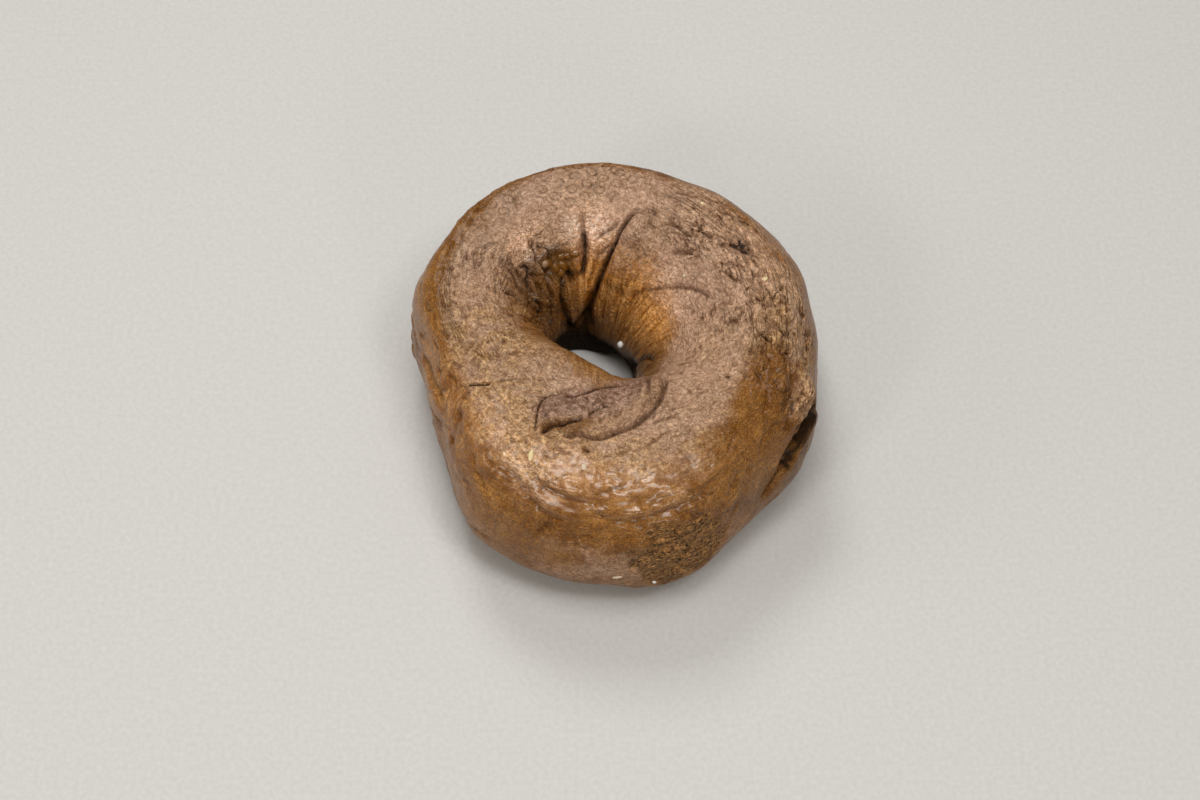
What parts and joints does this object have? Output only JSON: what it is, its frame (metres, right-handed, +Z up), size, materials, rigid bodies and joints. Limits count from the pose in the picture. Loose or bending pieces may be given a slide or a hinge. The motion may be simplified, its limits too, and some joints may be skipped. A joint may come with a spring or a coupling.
{
  "type": "bagel",
  "caption": "Hand-rolled brown bagel with an uneven ring, a funnel-shaped off-centre hole, folded and tucked dough ends, a flat pressed top and a patch of torn crust.",
  "frame": {"origin": "under the middle of the ring's footprint, on the surface that it rests on", "axes": "+Z up through the hole, +Y along the ring's longer side and away from the tucked dough end, +X to the right of it"},
  "size_m": [0.1022, 0.1106, 0.0411],
  "materials": {
    "crust": "glossy to satin baked crust, caramel on the sides and dusty tan on the pressed top"
  },
  "bodies": {
    "root": {"bagel": "crust"}
  },
  "joints": []
}
